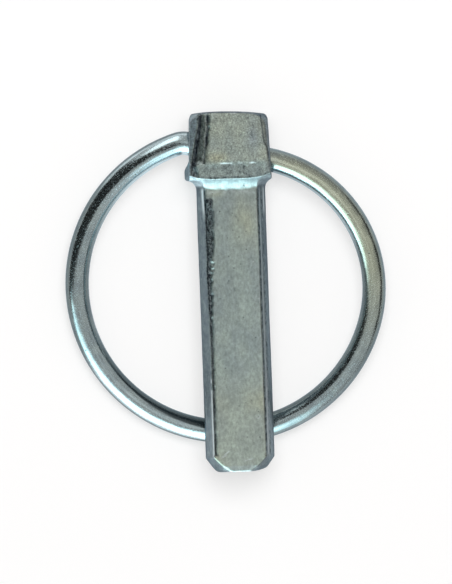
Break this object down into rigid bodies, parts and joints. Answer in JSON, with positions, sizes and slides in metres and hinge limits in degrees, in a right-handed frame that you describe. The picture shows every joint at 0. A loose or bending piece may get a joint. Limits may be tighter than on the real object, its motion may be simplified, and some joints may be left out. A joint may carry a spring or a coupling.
{
  "type": "lynch pin",
  "caption": "Forged steel lynch pin: a round shank with front and back flats and a chamfered tip, and a wire ring that swings in its head and closes behind the shank.",
  "frame": {"origin": "on the shank's axis, at the shoulder under the head", "axes": "+Y along the shank towards the head's top; +X to the right and +Z out of the front flat, towards a viewer who looks down on the pin as it lies"},
  "size_m": [0.0462, 0.052, 0.0118],
  "materials": {
    "forged_zinc": "bright zinc plating over a rough forged surface, passivated to a grey-green cast, with small pits and scratches",
    "wire_zinc": "bright zinc plating over smooth drawn spring wire, with fine lengthwise streaks"
  },
  "bodies": {
    "pin": {"pin": "forged_zinc"},
    "ring": {"ring": "wire_zinc"}
  },
  "joints": [
    {"name": "ring_swing", "type": "hinge", "parent": "pin", "child": "ring", "pos_m": [0, 0.00407, 0], "axis": [0.9736, -0.2284, 0], "range_deg": [0, 344.5]}
  ]
}
